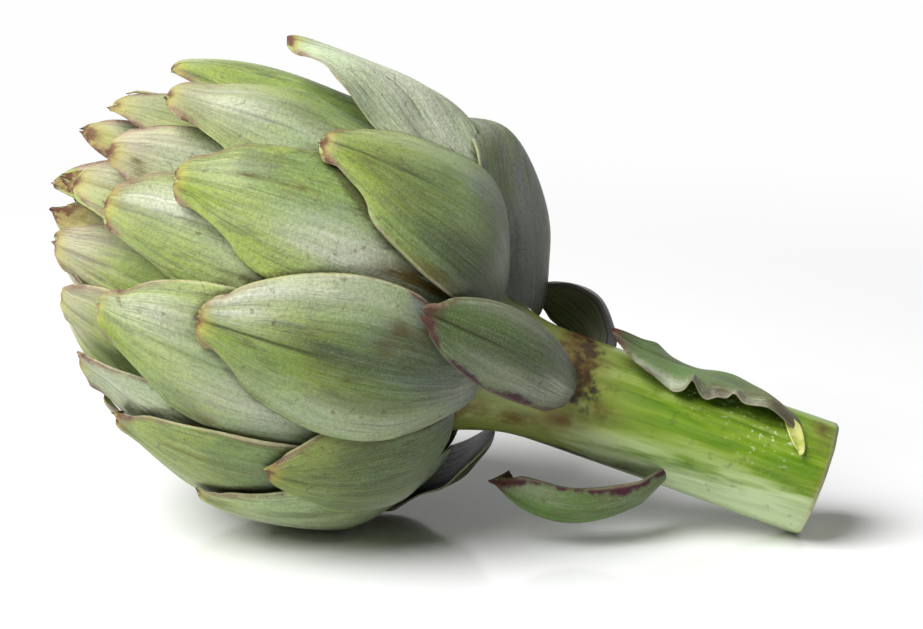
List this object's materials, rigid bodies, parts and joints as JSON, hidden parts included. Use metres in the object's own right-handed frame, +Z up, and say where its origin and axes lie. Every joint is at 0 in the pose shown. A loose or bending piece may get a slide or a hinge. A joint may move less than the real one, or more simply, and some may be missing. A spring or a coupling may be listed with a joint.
{
  "type": "globe artichoke",
  "caption": "Whole globe artichoke lying on its side, with fleshy overlapping bracts, a ribbed stem cut across, and small leaves on the stem.",
  "frame": {"origin": "middle of the flat spot of the belly that it rests on", "axes": "+X towards the cut end of the stem, -Y towards the side of the big front bract, +Z up as it lies"},
  "size_m": [0.1815, 0.1002, 0.1125],
  "materials": {
    "bract": "matt, grey-green to yellow-green, with paler veins and brown tips",
    "stem": "satin, yellow-green, ribbed lengthwise",
    "stem_leaf": "matt, dark green with purple edges",
    "choke": "matt, straw-coloured bristles"
  },
  "bodies": {
    "root": {"stem_and_heart": "stem", "choke": "choke", "stem_leaf_front": "stem_leaf", "stem_leaf_back": "stem_leaf", "stem_leaf_lower": "stem_leaf", "stem_leaf_withered": "stem_leaf", "outer_bract_1": "bract", "outer_bract_2": "bract", "outer_bract_3": "bract", "outer_bract_4": "bract", "outer_bract_5": "bract", "outer_bract_6": "bract", "outer_bract_7": "bract", "outer_bract_8": "bract", "outer_bract_9": "bract", "outer_bract_10": "bract", "middle_bract_1": "bract", "middle_bract_2": "bract", "middle_bract_3": "bract", "middle_bract_4": "bract", "middle_bract_5": "bract", "middle_bract_6": "bract", "middle_bract_7": "bract", "middle_bract_8": "bract", "middle_bract_9": "bract", "middle_bract_10": "bract", "middle_bract_11": "bract", "upper_bract_1": "bract", "upper_bract_2": "bract", "upper_bract_3": "bract", "upper_bract_4": "bract", "upper_bract_5": "bract", "upper_bract_6": "bract", "upper_bract_7": "bract", "upper_bract_8": "bract", "upper_bract_9": "bract", "upper_bract_10": "bract", "upper_bract_11": "bract", "upper_bract_12": "bract", "upper_bract_13": "bract", "crown_bract_1": "bract", "crown_bract_2": "bract", "crown_bract_3": "bract", "crown_bract_4": "bract", "crown_bract_5": "bract", "crown_bract_6": "bract", "crown_bract_7": "bract", "crown_bract_8": "bract", "crown_bract_9": "bract", "crown_bract_10": "bract", "crown_bract_11": "bract", "crown_bract_12": "bract", "crown_bract_13": "bract", "crown_bract_14": "bract", "crown_bract_15": "bract", "crown_bract_16": "bract", "inner_bracts": "bract"}
  },
  "joints": []
}
